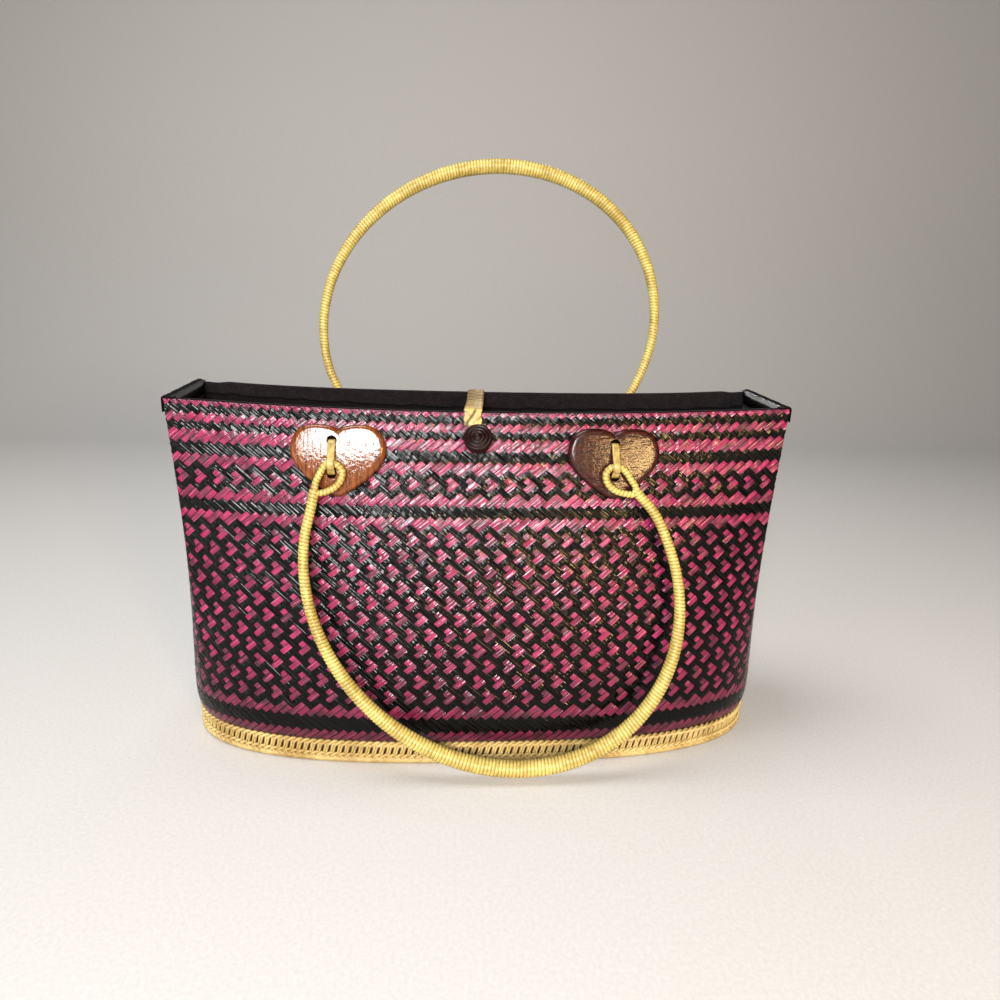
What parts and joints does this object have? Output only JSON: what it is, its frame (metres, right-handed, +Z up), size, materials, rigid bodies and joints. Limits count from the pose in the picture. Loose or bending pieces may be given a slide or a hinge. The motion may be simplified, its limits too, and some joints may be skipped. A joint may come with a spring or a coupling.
{
  "type": "woven straw handbag",
  "caption": "Small structured tote of diagonal two-tone woven straw with an open mouth, cloth lining, cane base ring, stiff hoop handles on wooden hearts and a strap-and-button closure.",
  "frame": {"origin": "middle of the base, on the surface that the bag stands on", "axes": "+X along the length of the mouth to the right as seen from the front, -Y out of the front, +Z up"},
  "size_m": [0.3014, 0.1598, 0.2926],
  "materials": {
    "woven_straw": "glossy split straw, pink and black",
    "cane": "natural, twisted and braided",
    "wound_cane": "pale, wound in fine ribs",
    "plaited_straw": "plaited, satin",
    "lining_cloth": "plain weave, matt",
    "vinyl": "glossy",
    "lacquered_wood": "clear gloss lacquer over brown wood",
    "dark_wood": "turned and waxed"
  },
  "bodies": {
    "bag": {"body_wall": "woven_straw", "base_ring": "cane", "base_floor": "cane", "lining": "lining_cloth", "binding_left": "vinyl", "binding_right": "vinyl", "strap": "plaited_straw", "button": "dark_wood", "heart_front_left": "lacquered_wood", "tie_front_left": "wound_cane", "heart_front_right": "lacquered_wood", "tie_front_right": "wound_cane", "heart_back_left": "lacquered_wood", "tie_back_left": "wound_cane", "heart_back_right": "lacquered_wood", "tie_back_right": "wound_cane"},
    "front_handle": {"handle_front": "wound_cane"},
    "back_handle": {"handle_back": "wound_cane"}
  },
  "joints": [
    {"name": "front_handle_swing", "type": "hinge", "parent": "bag", "child": "front_handle", "pos_m": [0, -0.04284, 0.14581], "axis": [-1, 0, 0], "range_deg": [0, 179]},
    {"name": "back_handle_swing", "type": "hinge", "parent": "bag", "child": "back_handle", "pos_m": [0, 0.0371, 0.14616], "axis": [-1, 0, 0], "range_deg": [-29, 143]}
  ]
}
